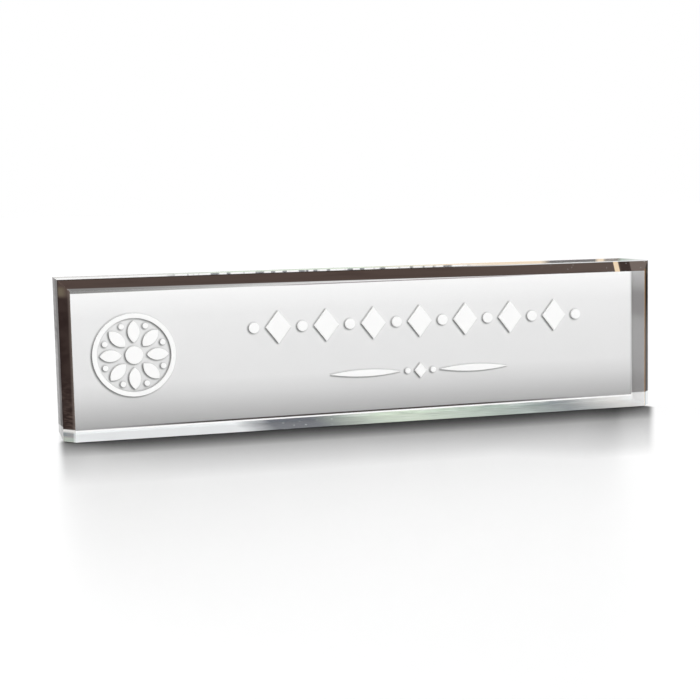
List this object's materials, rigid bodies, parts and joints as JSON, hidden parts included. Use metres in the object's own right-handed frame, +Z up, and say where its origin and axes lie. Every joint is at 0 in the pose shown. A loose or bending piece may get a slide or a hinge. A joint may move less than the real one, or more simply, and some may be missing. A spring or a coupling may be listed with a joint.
{
  "type": "desk name plate",
  "caption": "Thick clear bar that stands on its long edge, bevelled at the front, with white inlays and a printed film on its back face.",
  "frame": {"origin": "on the resting surface, under the middle of the plate", "axes": "+X along the plate towards the viewer's right, +Y from the bevelled front to the back, +Z up"},
  "size_m": [0.2032, 0.0256, 0.0508],
  "materials": {
    "clear_acrylic": "clear, polished",
    "printed_film": "printed white to grey",
    "white_enamel": "smooth white"
  },
  "bodies": {
    "root": {"clear_block": "clear_acrylic", "backing_film": "printed_film", "emblem_ring": "white_enamel", "emblem_petals": "white_enamel", "emblem_core": "white_enamel", "emblem_beads": "white_enamel", "band_lozenges": "white_enamel", "band_beads": "white_enamel", "line_rules": "white_enamel", "line_lozenge": "white_enamel", "line_beads": "white_enamel"}
  },
  "joints": []
}
